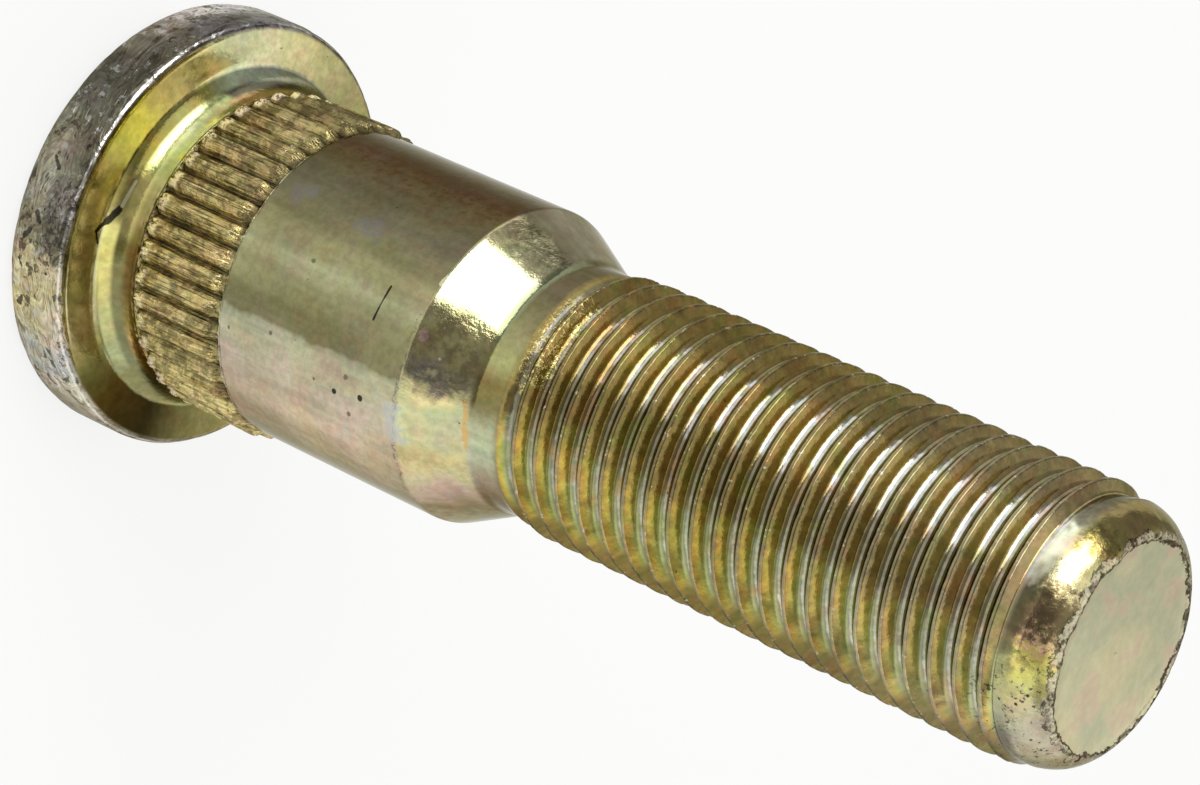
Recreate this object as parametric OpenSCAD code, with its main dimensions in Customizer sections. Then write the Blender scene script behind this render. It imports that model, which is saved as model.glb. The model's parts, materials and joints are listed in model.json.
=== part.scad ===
// Wheel stud: a headed, knurled shoulder and a fine right-hand thread, forged and rolled in one piece.
// It stands on its head: z = 0 is the outer face of the head, and +Z runs along the axis to the tip.

/* [Head] */
// Diameter of the round head
head_d = 21.6; // [21:0.1:26]
// Height of the head, from its outer face to its underside
head_h = 3.7; // [2.4:0.1:6]
// Rounding of the head's edge beside the outer face
head_outer_r = 0.7; // [0.2:0.1:1.1]
// Rounding of the head's edge beside the underside
head_under_r = 0.6; // [0.2:0.1:0.9]

/* [Collar] */
// Diameter of the plain collar between the head and the knurl
collar_d = 15.4; // [15.1:0.1:15.7]
// Length of the collar, from the head's underside to the knurl
collar_len = 1.8; // [1:0.1:4]
// Radius of the fillet that carries the head on the collar
fillet_r = 2.2; // [1.2:0.1:2.4]

/* [Knurl] */
// Diameter over the crests of the knurl
knurl_d = 16; // [15.8:0.05:17]
// Diameter at the bottom of the knurl's grooves
knurl_root_d = 14.8; // [14:0.05:14.9]
// Length of the knurled band
knurl_len = 5.6; // [3:0.1:10]
// Number of teeth round the knurl
knurl_teeth = 40; // [24:1:60]
// Share of each tooth's width that is flat crest
knurl_crest_share = 0.22; // [0.1:0.01:0.4]
// Length of the slope at each end of a tooth
knurl_lead = 0.5; // [0.2:0.05:1.2]

/* [Shank] */
// Diameter of the smooth shank
shank_d = 15.3; // [15.1:0.05:15.7]
// Length of the smooth shank, from the knurl to the cone
shank_len = 11.1; // [4:0.1:30]
// Rounding of the edge between the shank and the cone
shoulder_r = 0.6; // [0.2:0.1:1.5]
// Angle between the cone's side and the stud's axis
cone_angle = 27; // [20:1:45]

/* [Neck] */
// Diameter of the plain neck, which is also that of the blank the thread is rolled on
neck_d = 12; // [11.8:0.05:12.2]
// Length of the plain neck, from the cone to the thread
neck_len = 1.1; // [0.8:0.1:6]
// Radius of the hollow blend between the cone and the neck
neck_blend_r = 1; // [0.2:0.1:2]

/* [Thread] */
// Diameter over the crests of the thread
thread_d = 12.62; // [12.45:0.01:12.7]
// Pitch of the thread, 20 turns to the inch
thread_pitch = 1.27; // [1.2:0.01:1.6]
// Length of the thread, from the neck to the end of its last groove
thread_len = 28.5; // [10:0.1:45]
// Angle round the axis at which the thread starts
thread_start_angle = 101; // [0:1:359]
// Turns over which the thread rises to its full depth
thread_lead_in = 1; // [0.3:0.05:2]
// Turns over which the thread runs out beside the tip
thread_run_out = 0.4; // [0.3:0.05:1.5]

/* [Tip] */
// Diameter of the flat face at the tip
tip_d = 9.8; // [9:0.1:11]
// Length of the crowned edge between the neck's diameter and the tip's face
tip_len = 1.9; // [1.6:0.1:3]
// Length of the thread's last groove that lies in the crowned edge
tip_overlap = 0.75; // [0.3:0.05:1.2]

/* [Hidden] */
$fn = 96;

// Steps along each rounded corner of the profile
corner_steps = 6;
// Steps along each turn of the thread
turn_steps = 40;
// Rings along the crowned edge at the tip
crown_rings = 6;
// How far one form reaches into the next, so that both are one solid
overlap = 0.2;
// How far a form stays under the surface that it reaches into
sink = 0.04;

head_radius = head_d / 2;
collar_radius = collar_d / 2;
knurl_radius = knurl_d / 2;
knurl_root_radius = knurl_root_d / 2;
shank_radius = shank_d / 2;
neck_radius = neck_d / 2;
tip_radius = tip_d / 2;
fillet_rise = min(fillet_r, collar_len);
fillet_foot_radius = collar_radius + fillet_r - sqrt(pow(fillet_r, 2) - pow(fillet_rise, 2));

// Places along the axis
knurl_z = head_h + collar_len;
shank_z = knurl_z + knurl_len;
cone_z = shank_z + shank_len;
cone_len = (shank_radius - neck_radius) / tan(cone_angle);
neck_z = cone_z + cone_len;
thread_z = neck_z + neck_len;
thread_end_z = thread_z + thread_len;
crown_z = thread_end_z - tip_overlap;
tip_z = crown_z + tip_len;

// Section of the thread: 60 degree flanks, a crest an eighth of the pitch wide and a flat root
flank_angle = 30;
thread_radius = thread_d / 2;
thread_depth = 0.6134 * thread_pitch;
thread_root_radius = thread_radius - thread_depth;
crest_width = thread_pitch / 8;
flank_width = thread_depth * tan(flank_angle);
root_width = thread_pitch - crest_width - 2 * flank_width;
crest_offset = (thread_radius - neck_radius) * tan(flank_angle);

// Steps and heights of the helix
thread_gap = 0.2;
turns = (thread_len - thread_gap - thread_pitch) / thread_pitch;
last_step = floor(turns * turn_steps);

// Radius of the arc that crowns the tip
crown_drop = neck_radius - tip_radius;
crown_radius = (pow(tip_len, 2) + pow(crown_drop, 2)) / (2 * crown_drop);

// Points along an arc about [r, z], both angles measured from the +r direction
function arc(r, z, radius, from, to, steps) = [
    for (i = [0 : steps])
        let (angle = from + (to - from) * i / steps)
        [r + radius * cos(angle), z + radius * sin(angle)]
];

fillet_angle = asin(fillet_rise / fillet_r);
shoulder_shift = shoulder_r * tan(cone_angle / 2);
blend_shift = neck_blend_r * tan(cone_angle / 2);

// Outline of the turned body from the head's outer face to the neck, as [radius, height]
body_outline = concat(
    [[0, 0]],
    arc(head_radius - head_outer_r, head_outer_r, head_outer_r, -90, 0, corner_steps),
    arc(head_radius - head_under_r, head_h - head_under_r, head_under_r, 0, 90, corner_steps),
    arc(collar_radius + fillet_r, head_h + fillet_rise, fillet_r, 180 + fillet_angle, 180, corner_steps),
    [
        [collar_radius, knurl_z],
        [knurl_root_radius, knurl_z],
        [knurl_root_radius, shank_z],
        [shank_radius, shank_z]
    ],
    arc(shank_radius - shoulder_r, cone_z - shoulder_shift, shoulder_r, 0, cone_angle, corner_steps),
    arc(neck_radius + neck_blend_r, neck_z + blend_shift, neck_blend_r, 180 + cone_angle, 180, corner_steps),
    [
        [neck_radius, thread_z],
        [0, thread_z]
    ]
);

// Head, collar, shank, cone and neck
module turned_body() {
    rotate_extrude()
        polygon(body_outline);
}

// Star-shaped section of the knurl: a groove and two crest corners for each tooth
knurl_outline = [
    for (tooth = [0 : knurl_teeth - 1], corner = [0 : 2])
        let (
            share = corner == 0 ? -0.5 : (corner == 1 ? -0.5 : 0.5) * knurl_crest_share,
            angle = 360 * (tooth + share) / knurl_teeth,
            radius = corner == 0 ? knurl_root_radius - overlap : knurl_radius + overlap
        )
        [radius * cos(angle), radius * sin(angle)]
];

// Sloped envelope that ends each tooth just under the collar and the shank
knurl_envelope = [
    [0, knurl_z - overlap],
    [collar_radius - sink, knurl_z - overlap],
    [collar_radius - sink, knurl_z],
    [knurl_radius, knurl_z + knurl_lead],
    [knurl_radius, shank_z - knurl_lead],
    [shank_radius - sink, shank_z],
    [shank_radius - sink, shank_z + overlap],
    [0, shank_z + overlap]
];

// Teeth of the knurl, which bite into the hub's bore
module knurl() {
    intersection() {
        translate([0, 0, knurl_z - 2 * overlap])
            linear_extrude(knurl_len + 4 * overlap)
                polygon(knurl_outline);
        rotate_extrude()
            polygon(knurl_envelope);
    }
}

// Radius of the blank under the thread, crowned towards the tip
function blank_radius(z) =
    z <= crown_z
        ? neck_radius
        : neck_radius - crown_radius + sqrt(pow(crown_radius, 2) - pow(z - crown_z, 2));

// Share of the thread's full depth at a step along the helix
function depth_share(step) = min(
    1,
    step / (thread_lead_in * turn_steps),
    (last_step - step) / (thread_run_out * turn_steps)
);

// A point of the thread: corner 0 is on the blank, 1 and 2 bound the crest, 3 and 4 the root
corner_rises = [
    0,
    crest_offset,
    crest_offset + crest_width,
    crest_offset + crest_width + flank_width,
    crest_offset + crest_width + flank_width + root_width
];
corner_radii = [neck_radius, thread_radius, thread_radius, thread_root_radius, thread_root_radius];

function at_angle(step, radius, z) =
    let (angle = thread_start_angle + 360 * step / turn_steps)
    [radius * cos(angle), radius * sin(angle), z];

function helix_z(step) = thread_z + thread_gap + thread_pitch * step / turn_steps;

function thread_point(step, corner) =
    let (
        z = helix_z(step) + corner_rises[corner],
        swing = corner == 0 ? 0 : depth_share(step) * (corner_radii[corner] - neck_radius)
    )
    at_angle(step, blank_radius(z) + swing, z);

// Heights of the rings that close the helix's last turn into the tip
helix_top_z = helix_z(last_step + turn_steps);
first_ring_z = helix_top_z + overlap / 2;

function ring_z(ring) = first_ring_z + (tip_z - first_ring_z) * ring / crown_rings;

function land_point(step) =
    let (z = (helix_z(step) + first_ring_z) / 2)
    at_angle(step, blank_radius(z), z);

thread_points = concat(
    [for (step = [0 : last_step], corner = [0 : 4]) thread_point(step, corner)],
    [for (step = [last_step + 1 : last_step + turn_steps]) thread_point(step, 0)],
    [for (step = [0 : turn_steps - 1]) at_angle(step, neck_radius - sink, thread_z - 2 * overlap)],
    [for (step = [0 : turn_steps - 1]) land_point(last_step + step)],
    [
        for (ring = [0 : crown_rings], step = [0 : turn_steps - 1])
            at_angle(last_step + step, blank_radius(ring_z(ring)), ring_z(ring))
    ]
);

// Places of those points in the list
foot_start = 5 * (last_step + 1) + turn_steps;
land_start = foot_start + turn_steps;

function blank_index(step) = step <= last_step ? 5 * step : 4 * last_step + 4 + step;
function corner_index(step, corner) = corner < 5 ? 5 * step + corner : blank_index(step + turn_steps);
function foot_index(step) = foot_start + step % turn_steps;
function ring_index(ring, step) = land_start + turn_steps * ring + step % turn_steps;

// Two triangles between the lower corners a, b and the upper corners c, d
function patch(a, b, c, d) = [[c, d, b], [c, b, a]];

foot_chain = concat([foot_index(0)], [for (corner = [0 : 5]) corner_index(0, corner)]);
top_chain = concat([for (corner = [0 : 5]) corner_index(last_step, corner)], [ring_index(0, 0)]);

thread_faces = concat(
    [
        for (step = [0 : last_step - 1], corner = [0 : 4])
            each patch(
                corner_index(step, corner),
                corner_index(step + 1, corner),
                corner_index(step, corner + 1),
                corner_index(step + 1, corner + 1)
            )
    ],
    [
        for (step = [0 : turn_steps - 2])
            each patch(foot_index(step), foot_index(step + 1), blank_index(step), blank_index(step + 1))
    ],
    [for (i = [0 : 5]) [foot_chain[i + 1], foot_chain[i], foot_index(turn_steps - 1)]],
    [[blank_index(turn_steps - 1), blank_index(turn_steps), foot_index(turn_steps - 1)]],
    [
        for (step = [1 : turn_steps - 1])
            each patch(
                blank_index(last_step + step),
                blank_index(last_step + step + 1),
                ring_index(0, step),
                ring_index(0, step + 1)
            )
    ],
    [for (i = [0 : 5]) [top_chain[i], top_chain[i + 1], blank_index(last_step + 1)]],
    [[ring_index(0, 0), ring_index(0, 1), blank_index(last_step + 1)]],
    [
        for (ring = [0 : crown_rings], step = [0 : turn_steps - 1])
            each patch(
                ring_index(ring, step),
                ring_index(ring, step + 1),
                ring_index(ring + 1, step),
                ring_index(ring + 1, step + 1)
            )
    ],
    [[for (step = [0 : turn_steps - 1]) foot_index(step)]],
    [[for (step = [turn_steps - 1 : -1 : 0]) ring_index(crown_rings + 1, step)]]
);

// Thread with its run-in at the neck, its run-out and the crowned tip
module threaded_end() {
    polyhedron(points = thread_points, faces = thread_faces, convexity = 10);
}

module wheel_stud() {
    color([0.72, 0.65, 0.36]) {
        turned_body();
        knurl();
        threaded_end();
    }
}

wheel_stud();
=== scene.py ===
import json
import math
import bpy
import numpy as np
from mathutils import Matrix, Vector, noise


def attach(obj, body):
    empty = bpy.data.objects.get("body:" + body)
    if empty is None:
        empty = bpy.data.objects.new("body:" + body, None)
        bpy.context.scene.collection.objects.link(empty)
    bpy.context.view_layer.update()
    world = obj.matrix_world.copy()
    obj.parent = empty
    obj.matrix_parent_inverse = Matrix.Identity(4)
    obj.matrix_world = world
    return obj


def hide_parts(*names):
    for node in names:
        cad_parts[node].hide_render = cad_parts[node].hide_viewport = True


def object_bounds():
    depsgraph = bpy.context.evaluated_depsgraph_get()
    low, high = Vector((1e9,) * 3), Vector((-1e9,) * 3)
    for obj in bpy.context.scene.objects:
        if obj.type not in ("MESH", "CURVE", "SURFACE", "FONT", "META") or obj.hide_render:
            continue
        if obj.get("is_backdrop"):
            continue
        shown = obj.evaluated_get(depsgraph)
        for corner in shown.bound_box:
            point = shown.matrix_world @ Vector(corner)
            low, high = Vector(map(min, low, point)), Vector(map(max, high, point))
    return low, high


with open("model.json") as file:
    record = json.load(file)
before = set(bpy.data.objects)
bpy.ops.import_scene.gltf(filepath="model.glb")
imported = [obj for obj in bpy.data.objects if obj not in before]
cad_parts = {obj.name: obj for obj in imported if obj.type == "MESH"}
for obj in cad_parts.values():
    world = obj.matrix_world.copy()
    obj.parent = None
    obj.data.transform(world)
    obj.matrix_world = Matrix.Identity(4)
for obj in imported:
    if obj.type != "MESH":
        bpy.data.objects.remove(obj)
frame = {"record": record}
cad_low, cad_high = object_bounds()

MM = 0.001
mounts = {mount["name"]: mount for mount in frame["record"]["mounts"]}


def whole(metres):
    """Millimetres, to the nearest thousandth."""
    return round(metres / MM, 3)


# Sizes in millimetres from the frame
HEAD_R = whole(cad_high[0])
HEAD_H = whole(mounts["head_underside"]["pos_m"][2])
KNURL_R = mounts["knurled_collar"]["dims"]["r_mm"]
SHANK_R = mounts["smooth_shank"]["dims"]["r_mm"]
THREAD_R = mounts["wheel_nut_thread"]["dims"]["r_mm"]
TIP_Z = whole(cad_high[2])

# Other sizes in millimetres, the same as the part's own
HEAD_OUTER_R = 0.7
HEAD_UNDER_R = 0.6
FILLET_R = 2.2
COLLAR_R = 7.7
KNURL_Z = 5.5
KNURL_ROOT_R = 7.4
KNURL_TEETH = 40
CONE_Z = 22.2
SHOULDER_R = 0.6
CONE_ANGLE = math.radians(27)
NECK_R = 6.0
NECK_Z = 25.438
NECK_BLEND_R = 1.0
PITCH = 1.27
THREAD_START = 26.996
THREAD_END = 54.015
ROOT_ARC_R = 0.35
CROWN_Z = 54.288
TIP_R = 4.9

# Points in a ring, and the angle at which it starts
COLUMNS = 240
SEAM = math.pi


def smooth(x, low, high):
    """0 below low, 1 above high, an S-curve between."""
    t = np.clip((x - low) / (high - low), 0.0, 1.0)
    return t * t * (3.0 - 2.0 * t)


def ripple(x, y, z, scale, seed=0.0):
    """Smooth repeatable unevenness between about -1 and 1 at each point."""
    shift = Vector((seed, 2.7 * seed, 5.1 * seed))
    points = np.stack(np.broadcast_arrays(x, y, z), axis=-1).reshape(-1, 3)
    values = [noise.noise(Vector(p) * scale + shift) for p in points]
    return np.array(values).reshape(np.broadcast(x, y, z).shape)


class Shell:
    """Rings of points and the faces between them."""

    def __init__(self):
        self.points = []
        self.faces = []

    def ring(self, angles, radii, heights):
        first = sum(len(p) for p in self.points)
        angles, radii, heights = np.broadcast_arrays(angles, radii, heights)
        self.points.append(np.stack([radii * np.cos(angles), radii * np.sin(angles), heights], axis=-1))
        return np.arange(first, first + len(angles))

    def band(self, lower, upper):
        """Faces between two rings, of which one may have twice the points of the other."""
        n, m = len(lower), len(upper)
        if n == m:
            for j in range(n):
                k = (j + 1) % n
                self.faces.append((lower[j], lower[k], upper[k], upper[j]))
        elif m == 2 * n:
            for j in range(n):
                k = (j + 1) % n
                a, b, c = upper[2 * j], upper[2 * j + 1], upper[(2 * j + 2) % m]
                self.faces.append((lower[j], b, a))
                self.faces.append((lower[j], lower[k], b))
                self.faces.append((lower[k], c, b))
        else:
            for j in range(m):
                k = (j + 1) % m
                a, b, c = lower[2 * j], lower[2 * j + 1], lower[(2 * j + 2) % n]
                self.faces.append((a, b, upper[j]))
                self.faces.append((b, upper[k], upper[j]))
                self.faces.append((b, c, upper[k]))

    def cap(self, ring, height, downwards):
        """Closes a ring with a fan about a centre point."""
        first = sum(len(p) for p in self.points)
        self.points.append(np.array([[0.0, 0.0, height]]))
        for j in range(len(ring)):
            k = (j + 1) % len(ring)
            pair = (ring[k], ring[j]) if downwards else (ring[j], ring[k])
            self.faces.append((first, pair[0], pair[1]))


def arc(r, z, radius, start, end, steps):
    """Profile points [r, z] along an arc, angles in degrees from the +r direction."""
    angles = np.radians(np.linspace(start, end, steps + 1))
    return [(r + radius * math.cos(a), z + radius * math.sin(a)) for a in angles]


def even(start, end, steps):
    """Profile points between two ends, both left out."""
    return [
        (start[0] + (end[0] - start[0]) * i / steps, start[1] + (end[1] - start[1]) * i / steps)
        for i in range(1, steps)
    ]


columns = SEAM + np.arange(COLUMNS) * 2 * math.pi / COLUMNS
shell = Shell()

# Head: outer face, rounded edges, side, underside and the fillet under it
foot_angle = math.degrees(math.asin((KNURL_Z - HEAD_H) / FILLET_R))
outer_edge = arc(HEAD_R - HEAD_OUTER_R, HEAD_OUTER_R, HEAD_OUTER_R, -90, 0, 6)
under_edge = arc(HEAD_R - HEAD_UNDER_R, HEAD_H - HEAD_UNDER_R, HEAD_UNDER_R, 0, 90, 7)
fillet = arc(COLLAR_R + FILLET_R, KNURL_Z, FILLET_R, 180 + foot_angle, 180, 10)
head_profile = (
    [(3.0, 0.0), (6.5, 0.0), (9.0, 0.0)]
    + outer_edge
    + even(outer_edge[-1], under_edge[0], 8)
    + under_edge
    + even(under_edge[-1], fillet[0], 5)
    + fillet
)


def worn(radii, heights, angles):
    """Moves points of the head inwards where its edge and side are nicked and uneven."""
    x = radii * np.cos(angles)
    y = radii * np.sin(angles)
    side = smooth(radii, 9.9, 10.7)
    uneven = 0.035 * (1 + ripple(x, y, heights, 0.45, 1.0)) * side
    scuffs = 0.05 * np.clip(ripple(x, y, heights * 1.4, 1.6, 2.0) - 0.15, 0, 1) * side
    nicks = 0.16 * np.clip(ripple(x, y, heights, 2.6, 3.0) - 0.42, 0, 1) * side
    return radii - uneven - scuffs - nicks


rings = []
for r, z in head_profile:
    heights = np.full(COLUMNS, z)
    radii = worn(np.full(COLUMNS, r), heights, columns)
    if z > 0.5 * HEAD_H and r > fillet[0][0]:
        sag = 0.015 * ripple(r * np.cos(columns), r * np.sin(columns), z, 0.5, 4.0)
        heights = heights + np.minimum(sag, 0)
    rings.append(shell.ring(columns, radii, heights))
shell.cap(rings[0], 0.0, downwards=True)
for lower, upper in zip(rings, rings[1:]):
    shell.band(lower, upper)
last_ring = rings[-1]

# Knurl: each tooth has its own place, height and ends
TOOTH = 360 / KNURL_TEETH
FIRST_TOOTH = -2.0
TEETH_END = 11.05
TOOTH_SHARES = np.array([-1, -0.82, -0.55, -0.28, -0.19, -0.1, 0.0, 0.1, 0.19, 0.28, 0.55, 0.82])
TOOTH_RISE = np.array([0.04, 0.42, 0.78, 0.70, 0.90, 1.0, 0.86, 0.78, 0.96, 0.98, 0.72, 0.50])
KNURL_HEIGHTS = (
    [5.52, 5.6, 5.7, 5.82, 5.95, 6.1, 6.3, 6.55, 6.8, 7.1, 7.4, 7.7, 8.0, 8.3, 8.6, 8.9, 9.2, 9.5]
    + [9.75, 10.0, 10.25, 10.45, 10.6, 10.75, 10.9, 11.0, 11.1]
)
teeth = np.arange(KNURL_TEETH)
tooth_shift = 0.9 * ripple(teeth * 1.37, 0.0, 0.0, 1.0, 6.0)
tooth_drop = 0.09 * np.abs(ripple(teeth * 1.91, 0.0, 0.0, 1.0, 7.0))
tooth_start = KNURL_Z + 0.22 * np.abs(ripple(teeth * 2.31, 0.0, 0.0, 1.0, 8.0))
tooth_end = TEETH_END - 0.5 * np.abs(ripple(teeth * 1.73, 0.0, 0.0, 1.0, 9.0))


def knurl_ring(z):
    """Angles and radii of the teeth's points at a height."""
    wander = 0.35 * ripple(teeth * 3.1, z * 0.8, 0.0, 1.0, 10.0)
    centre = TOOTH * teeth + FIRST_TOOTH + tooth_shift + wander
    before = (np.roll(centre, 1) - np.where(teeth == 0, 360, 0) + centre) / 2
    after = (centre + np.roll(centre, -1) + np.where(teeth == KNURL_TEETH - 1, 360, 0)) / 2
    rise_in = smooth(z, tooth_start, tooth_start + 0.25)
    rise_out = 1 - smooth(z, tooth_end - 0.55, tooth_end)
    crest = KNURL_R - tooth_drop - 0.05 * np.abs(ripple(teeth * 2.9, z * 2.2, 0.0, 1.0, 11.0))
    crest = crest + (KNURL_R - crest) * smooth(z, 6.3, 6.0)
    crest = COLLAR_R - 0.08 + (crest - COLLAR_R + 0.08) * rise_in
    crest = SHANK_R - 0.03 + (crest - SHANK_R + 0.03) * rise_out
    root_in = smooth(z, KNURL_Z, KNURL_Z + 0.18)
    root_out = smooth(z, 10.85, 11.1)
    root = COLLAR_R + (KNURL_ROOT_R - COLLAR_R) * root_in
    root = root + (SHANK_R - root) * root_out
    below = TOOTH_SHARES < 0
    span = np.where(below, (centre - before)[:, None], (after - centre)[:, None])
    angles = np.radians(centre[:, None] + TOOTH_SHARES * span)
    drawn = 0.16 * ripple(teeth[:, None] * 5.3 + TOOTH_SHARES * 2.6, z * 0.22, 0.0, 1.0, 15.0)
    rise = np.clip(TOOTH_RISE + drawn * (TOOTH_SHARES > -1), 0, 1)
    radii = root + (crest[:, None] - root) * rise
    chatter = 0.025 * ripple(angles * 8, z * 3.0, radii, 1.0, 12.0)
    radii = np.minimum(radii + chatter * (TOOTH_RISE > 0.3), KNURL_R)
    return angles.ravel(), radii.ravel()


# The list of points starts half way round, beside the seam, so that it lines up with the other rings
offset = KNURL_TEETH // 2 * len(TOOTH_SHARES)
for z in KNURL_HEIGHTS:
    angles, radii = knurl_ring(z)
    ring = shell.ring(np.roll(angles, -offset), np.roll(radii, -offset), z)
    shell.band(last_ring, ring)
    last_ring = ring

# Shank, shoulder, cone, hollow blend and neck
# The neck's last ring, and the least gap between the thread's rows above it
NECK_END = 25.95
ROW_GAP = 0.012
tilt = math.degrees(CONE_ANGLE)
shoulder_shift = SHOULDER_R * math.tan(CONE_ANGLE / 2)
blend_shift = NECK_BLEND_R * math.tan(CONE_ANGLE / 2)
shoulder = arc(SHANK_R - SHOULDER_R, CONE_Z - shoulder_shift, SHOULDER_R, 0, tilt, 6)
blend = arc(NECK_R + NECK_BLEND_R, NECK_Z + blend_shift, NECK_BLEND_R, 180 + tilt, 180, 6)
shank_profile = (
    [(SHANK_R, 11.2), (SHANK_R, 11.35)]
    + even((SHANK_R, 11.35), shoulder[0], 20)
    + shoulder
    + even(shoulder[-1], blend[0], 9)
    + blend
    + [(NECK_R, NECK_END)]
)


def dulled(radii, heights):
    """Slight unevenness of the plain surfaces, as a loss of radius."""
    x = radii * np.cos(columns)
    y = radii * np.sin(columns)
    soft = 0.012 * (1 + ripple(x, y, heights * 0.5, 0.35, 13.0))
    lumps = 0.02 * np.clip(ripple(x, y, heights, 1.3, 14.0), 0, 1) * smooth(heights, 21.9, 22.6)
    return soft + lumps


for r, z in shank_profile:
    ring = shell.ring(columns, r - dulled(r, z), z)
    shell.band(last_ring, ring)
    last_ring = ring

# Thread: rows of points that follow the helix, a set of rows for each turn
ROW_PHASES = np.array([-0.5, -0.42, -0.34, -0.261, -0.085, -0.04, 0.04, 0.085, 0.261, 0.34, 0.42])
CREST_HALF = 0.0625
FLANK_SLOPE = PITCH / math.tan(math.radians(30))
ROOT_HALF = ROOT_ARC_R * math.sin(math.radians(60)) / PITCH
ROOT_EDGE_R = THREAD_R - (0.5 - ROOT_HALF - CREST_HALF) * FLANK_SLOPE
ROOT_CENTRE_R = ROOT_EDGE_R + ROOT_ARC_R * math.cos(math.radians(60))


def thread_radius(phase):
    """Radius of the full thread at a phase, 0 at the crest and 0.5 at the root."""
    u = abs(phase)
    if u <= 0.05:
        return THREAD_R - 0.008
    if u < 0.5 - ROOT_HALF:
        return THREAD_R - (u - CREST_HALF) * FLANK_SLOPE
    along = (0.5 - u) * PITCH
    return ROOT_CENTRE_R - math.sqrt(ROOT_ARC_R ** 2 - along ** 2)


crown_drop = NECK_R - TIP_R
crown_len = TIP_Z - CROWN_Z
crown_radius = (crown_len ** 2 + crown_drop ** 2) / (2 * crown_drop)


def blank_radius(z):
    """Radius of the blank under the thread, crowned at the tip."""
    reach = np.clip(z - CROWN_Z, 0, crown_len)
    return NECK_R - crown_radius + np.sqrt(crown_radius ** 2 - reach ** 2)


# Turns are counted from the head's outer face
first_turn = 20
last_turn = 41
turn_share = np.arange(COLUMNS) / COLUMNS
rows = []
for turn in range(first_turn, last_turn + 1):
    for phase in ROW_PHASES:
        # The first turn's rows start above the neck, in a narrow band
        z = PITCH * (turn + 0.5 + phase + turn_share)
        z = np.maximum(z, NECK_END + ROW_GAP * (len(rows) + 1))
        share = np.minimum((z - THREAD_START + 0.35) / PITCH, (THREAD_END - z) / (0.4 * PITCH))
        share = np.clip(share, 0, 1)
        x = THREAD_R * np.cos(columns)
        y = THREAD_R * np.sin(columns)
        radii = blank_radius(z) + share * (thread_radius(phase) - NECK_R)
        if abs(phase) < 0.2:
            wear = np.clip(ripple(x, y, z, 1.1, 20.0) + 0.25, 0, 1)
            chips = np.clip(ripple(x, y, z, 3.1, 21.0) - 0.35, 0, 1)
            radii = radii - share * (0.03 * wear + 0.12 * chips)
        rough = np.clip((THREAD_START + 1.6 - z) / 1.2, 0, 1) * share
        radii = radii - 0.09 * rough * np.abs(ripple(x, y, z, 2.6, 22.0))
        if turn < first_turn + 2:
            radii = radii - dulled(NECK_R, z) * smooth(z, 27.3, 26.4)
        rows.append(shell.ring(columns, radii, z))
per_turn = len(ROW_PHASES)
for lower, upper in zip(rows, rows[1:]):
    for j in range(COLUMNS - 1):
        shell.faces.append((lower[j], lower[j + 1], upper[j + 1], upper[j]))
for i in range(len(rows) - per_turn - 1):
    ahead = i + per_turn
    shell.faces.append((rows[i][-1], rows[ahead][0], rows[ahead + 1][0], rows[i + 1][-1]))

# The first row meets the neck, with the seam's points in one fan
low = rows[0]
for j in range(COLUMNS - 1):
    shell.faces.append((last_ring[j], last_ring[j + 1], low[j + 1], low[j]))
shell.faces.append((last_ring[-1], last_ring[0], low[-1]))
seam = [rows[i][0] for i in range(per_turn + 1)]
for i in range(per_turn):
    shell.faces.append((low[-1], seam[i], seam[i + 1]))
shell.faces.append((last_ring[0], seam[0], low[-1]))

# The last row meets the land, and the crown closes on the end face inside a ragged lip
top = rows[-1]
land_z = PITCH * (last_turn + 0.5 + ROW_PHASES[-1] + 1) + 0.12
land = shell.ring(columns, blank_radius(land_z), land_z)
for j in range(COLUMNS - 1):
    shell.faces.append((top[j], top[j + 1], land[j + 1], land[j]))
seam = [rows[i][-1] for i in range(len(rows) - per_turn - 1, len(rows))]
for lower, upper in zip(seam, seam[1:]):
    shell.faces.append((lower, top[0], upper))
shell.faces.append((top[-1], land[0], land[-1]))
shell.faces.append((top[-1], top[0], land[0]))
last_ring = land
LIP_SHARE = 0.985
CROWN_ROWS = 12
for i in range(1, CROWN_ROWS + 1):
    z = land_z + (TIP_Z - land_z) * LIP_SHARE * i / CROWN_ROWS
    r = blank_radius(z)
    x = r * np.cos(columns)
    y = r * np.sin(columns)
    dull = 0.05 * np.clip(ripple(x, y, z, 0.9, 30.0) + 0.1, 0, 1)
    pits = 0.12 * np.clip(ripple(x, y, z, 2.7, 31.0) - 0.4, 0, 1)
    ring = shell.ring(columns, r - dull - pits, z)
    shell.band(last_ring, ring)
    last_ring = ring
x = 5 * np.cos(columns)
y = 5 * np.sin(columns)
edge = ripple(x, y, 0.0, 0.9, 32.0)
fray = ripple(x, y, 0.0, 1.9, 33.0)
lip = TIP_R - 0.16 + 0.12 * edge + 0.14 * fray
lip_height = TIP_Z - 0.03 * (1 + fray)
FACE_Z = TIP_Z - 0.13
FACE_R = 4.7
rim = shell.ring(columns, lip + 0.02, np.minimum(lip_height, TIP_Z))
shell.band(last_ring, rim)
inner = shell.ring(columns, lip - 0.07, FACE_Z + 0.02)
shell.band(rim, inner)
last_ring = inner
for share in (0.88, 0.8, 0.7, 0.5, 0.3, 0.12):
    r = share * FACE_R
    dish = 0.015 * ripple(r * np.cos(columns), r * np.sin(columns), 0.0, 0.5, 34.0)
    ring = shell.ring(columns, r, FACE_Z + dish)
    shell.band(last_ring, ring)
    last_ring = ring
shell.cap(last_ring, FACE_Z, downwards=False)

points = np.concatenate(shell.points) * MM
mesh = bpy.data.meshes.new("stud_body")
mesh.from_pydata(points.tolist(), [], [tuple(int(i) for i in face) for face in shell.faces])
mesh.validate()
mesh.polygons.foreach_set("use_smooth", [True] * len(mesh.polygons))


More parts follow.
